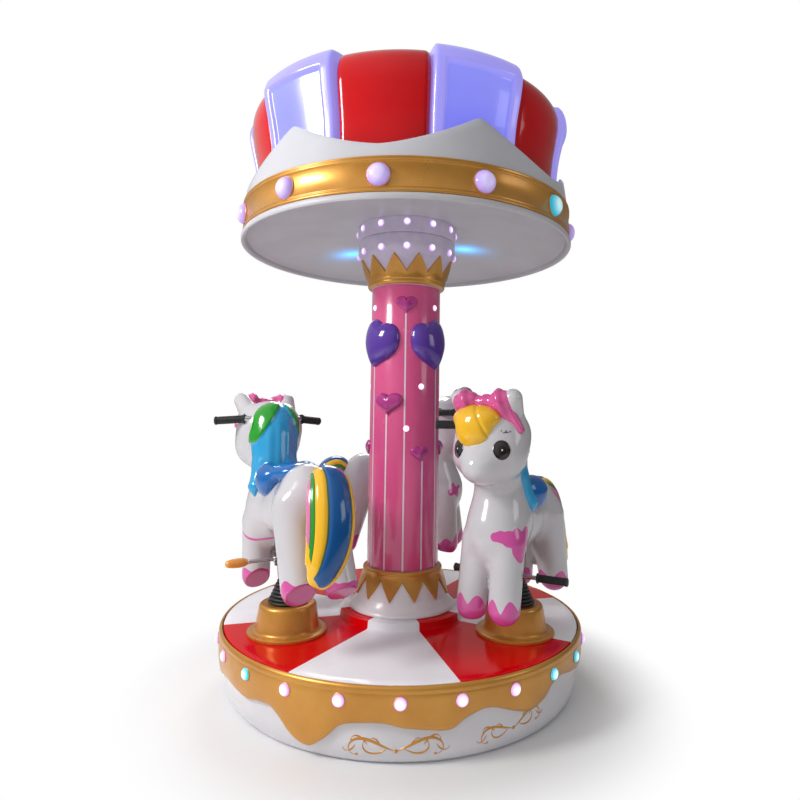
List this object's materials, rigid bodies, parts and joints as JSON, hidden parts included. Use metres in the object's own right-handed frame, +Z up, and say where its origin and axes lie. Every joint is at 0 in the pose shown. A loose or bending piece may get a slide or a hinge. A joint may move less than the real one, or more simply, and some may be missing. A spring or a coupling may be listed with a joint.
{
  "type": "pony carousel ride for small children",
  "caption": "Small round carousel: a fixed base, a turntable with a striped column and crown canopy, and ponies that rise and rock.",
  "frame": {"origin": "middle of the base on the floor", "axes": "+Z up along the column and the turntable's axis, -Y towards the viewer"},
  "size_m": [1.5397, 1.4971, 2.4],
  "materials": {
    "white_gelcoat": "glossy white gelcoat on glass-fibre",
    "gold": "satin metallic gold paint",
    "red_gelcoat": "glossy red and white gelcoat sectors",
    "pink_gelcoat": "glossy pink gelcoat with white stripes and hearts",
    "light_panel": "lit translucent white plastic, violet-blue light inside",
    "steel": "plain steel",
    "rubber": "matt black rubber",
    "grip_black": "black rubber grips on a steel bar",
    "pony_white": "glossy white gelcoat with painted pink hooves and face",
    "pony_blue": "glossy blue, yellow and green paint",
    "pony_yellow": "glossy yellow paint",
    "pony_pink": "glossy pink paint"
  },
  "bodies": {
    "base": {"base_tub": "white_gelcoat", "base_rim": "gold", "slew_bearing": "steel"},
    "turntable": {"turntable_deck": "red_gelcoat", "pedestal_1": "gold", "pedestal_2": "gold", "pedestal_3": "gold", "bellows_1": "rubber", "bellows_2": "rubber", "bellows_3": "rubber", "column_foot": "white_gelcoat", "column_foot_crown": "gold", "column_shaft": "pink_gelcoat", "column_bowl": "white_gelcoat", "column_capital_crown": "gold", "column_collar": "white_gelcoat", "canopy_soffit": "white_gelcoat", "canopy_band": "gold", "canopy_crest": "white_gelcoat", "crown_dome": "red_gelcoat", "crown_cap": "white_gelcoat", "light_panel_1": "light_panel", "light_panel_2": "light_panel", "light_panel_3": "light_panel", "light_panel_4": "light_panel", "light_panel_5": "light_panel", "light_panel_6": "light_panel"},
    "lift_1": {"post_1": "steel"},
    "pony_1": {"pony_1_body": "pony_white", "pony_1_mane": "pony_blue", "pony_1_forelock": "pony_yellow", "pony_1_bow": "pony_pink", "pony_1_saddle": "pony_blue", "pony_1_tail": "pony_blue", "pony_1_handlebar": "grip_black", "pony_1_footrest": "steel"},
    "lift_2": {"post_2": "steel"},
    "pony_2": {"pony_2_body": "pony_white", "pony_2_mane": "pony_blue", "pony_2_forelock": "pony_yellow", "pony_2_bow": "pony_pink", "pony_2_saddle": "pony_blue", "pony_2_tail": "pony_blue", "pony_2_handlebar": "grip_black", "pony_2_footrest": "steel"},
    "lift_3": {"post_3": "steel"},
    "pony_3": {"pony_3_body": "pony_white", "pony_3_mane": "pony_blue", "pony_3_forelock": "pony_yellow", "pony_3_bow": "pony_pink", "pony_3_saddle": "pony_blue", "pony_3_tail": "pony_blue", "pony_3_handlebar": "grip_black", "pony_3_footrest": "steel"}
  },
  "joints": [
    {"name": "turntable_spin", "type": "hinge", "parent": "base", "child": "turntable", "pos_m": [0, 0, 0.21], "axis": [0, 0, 1], "continuous": true},
    {"name": "pony_1_lift", "type": "slide", "parent": "turntable", "child": "lift_1", "axis": [0, 0, 1], "range_m": [0, 0.055], "deforming": ["bellows_1"]},
    {"name": "pony_1_rock", "type": "hinge", "parent": "lift_1", "child": "pony_1", "pos_m": [0.43474, -0.251, 0.482], "axis": [0.866, -0.5, 0], "range_deg": [-0.05, 9.19]},
    {"name": "pony_2_lift", "type": "slide", "parent": "turntable", "child": "lift_2", "axis": [0, 0, 1], "range_m": [-0.04, 0.015], "deforming": ["bellows_2"]},
    {"name": "pony_2_rock", "type": "hinge", "parent": "lift_2", "child": "pony_2", "pos_m": [-0.43474, -0.251, 0.522], "axis": [-0.866, -0.5, 0], "range_deg": [-6.7, 2.54]},
    {"name": "pony_3_lift", "type": "slide", "parent": "turntable", "child": "lift_3", "axis": [0, 0, 1], "range_m": [-0.05, 0.005], "deforming": ["bellows_3"]},
    {"name": "pony_3_rock", "type": "hinge", "parent": "lift_3", "child": "pony_3", "pos_m": [0, 0.502, 0.532], "axis": [0, 1, 0], "range_deg": [-8.36, 0.88]}
  ],
  "couplings": [
    {"joint": "pony_1_rock", "follows": "pony_1_lift", "rad_per_m": 2.9},
    {"joint": "pony_2_rock", "follows": "pony_2_lift", "rad_per_m": 2.9},
    {"joint": "pony_3_rock", "follows": "pony_3_lift", "rad_per_m": 2.9}
  ]
}
